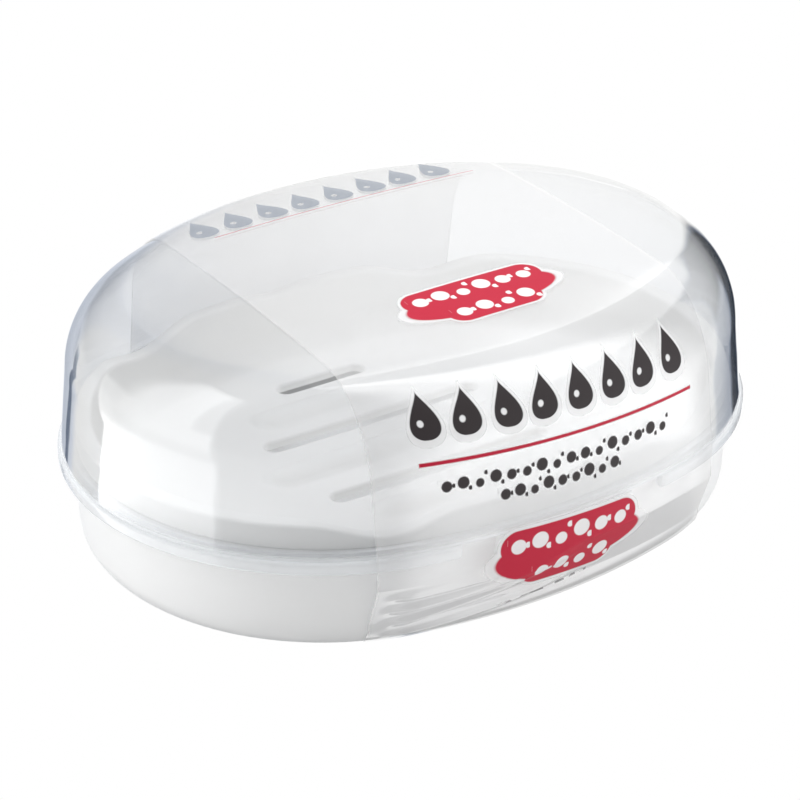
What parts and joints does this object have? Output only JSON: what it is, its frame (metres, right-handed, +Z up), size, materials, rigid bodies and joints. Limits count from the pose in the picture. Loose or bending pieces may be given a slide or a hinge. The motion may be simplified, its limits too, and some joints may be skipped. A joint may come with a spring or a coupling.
{
  "type": "travel soap box",
  "caption": "Oval travel soap box with a white tub, a slotted lift-out drain tray, a clear domed lid and a clear printed film band.",
  "frame": {"origin": "middle of the box's footprint, on the ground that its foot ring stands on", "axes": "+X along the box's length, +Y towards its rear long side, +Z up"},
  "size_m": [0.12, 0.0926, 0.0465],
  "materials": {
    "base_plastic": "satin, slightly translucent",
    "tray_plastic": "smooth satin",
    "clear_plastic": "clear, polished",
    "clear_film": "clear film with red print"
  },
  "bodies": {
    "tub": {"base": "base_plastic", "film_lower": "clear_film"},
    "tray": {"drain_tray": "tray_plastic"},
    "cover": {"lid": "clear_plastic", "film_upper": "clear_film"}
  },
  "joints": [
    {"name": "tray_lift", "type": "slide", "parent": "tub", "child": "tray", "axis": [0, 0, 1], "range_m": [0, 0.04]},
    {"name": "lid_lift", "type": "slide", "parent": "tray", "child": "cover", "axis": [0, 0, 1], "range_m": [0, 0.06]}
  ]
}
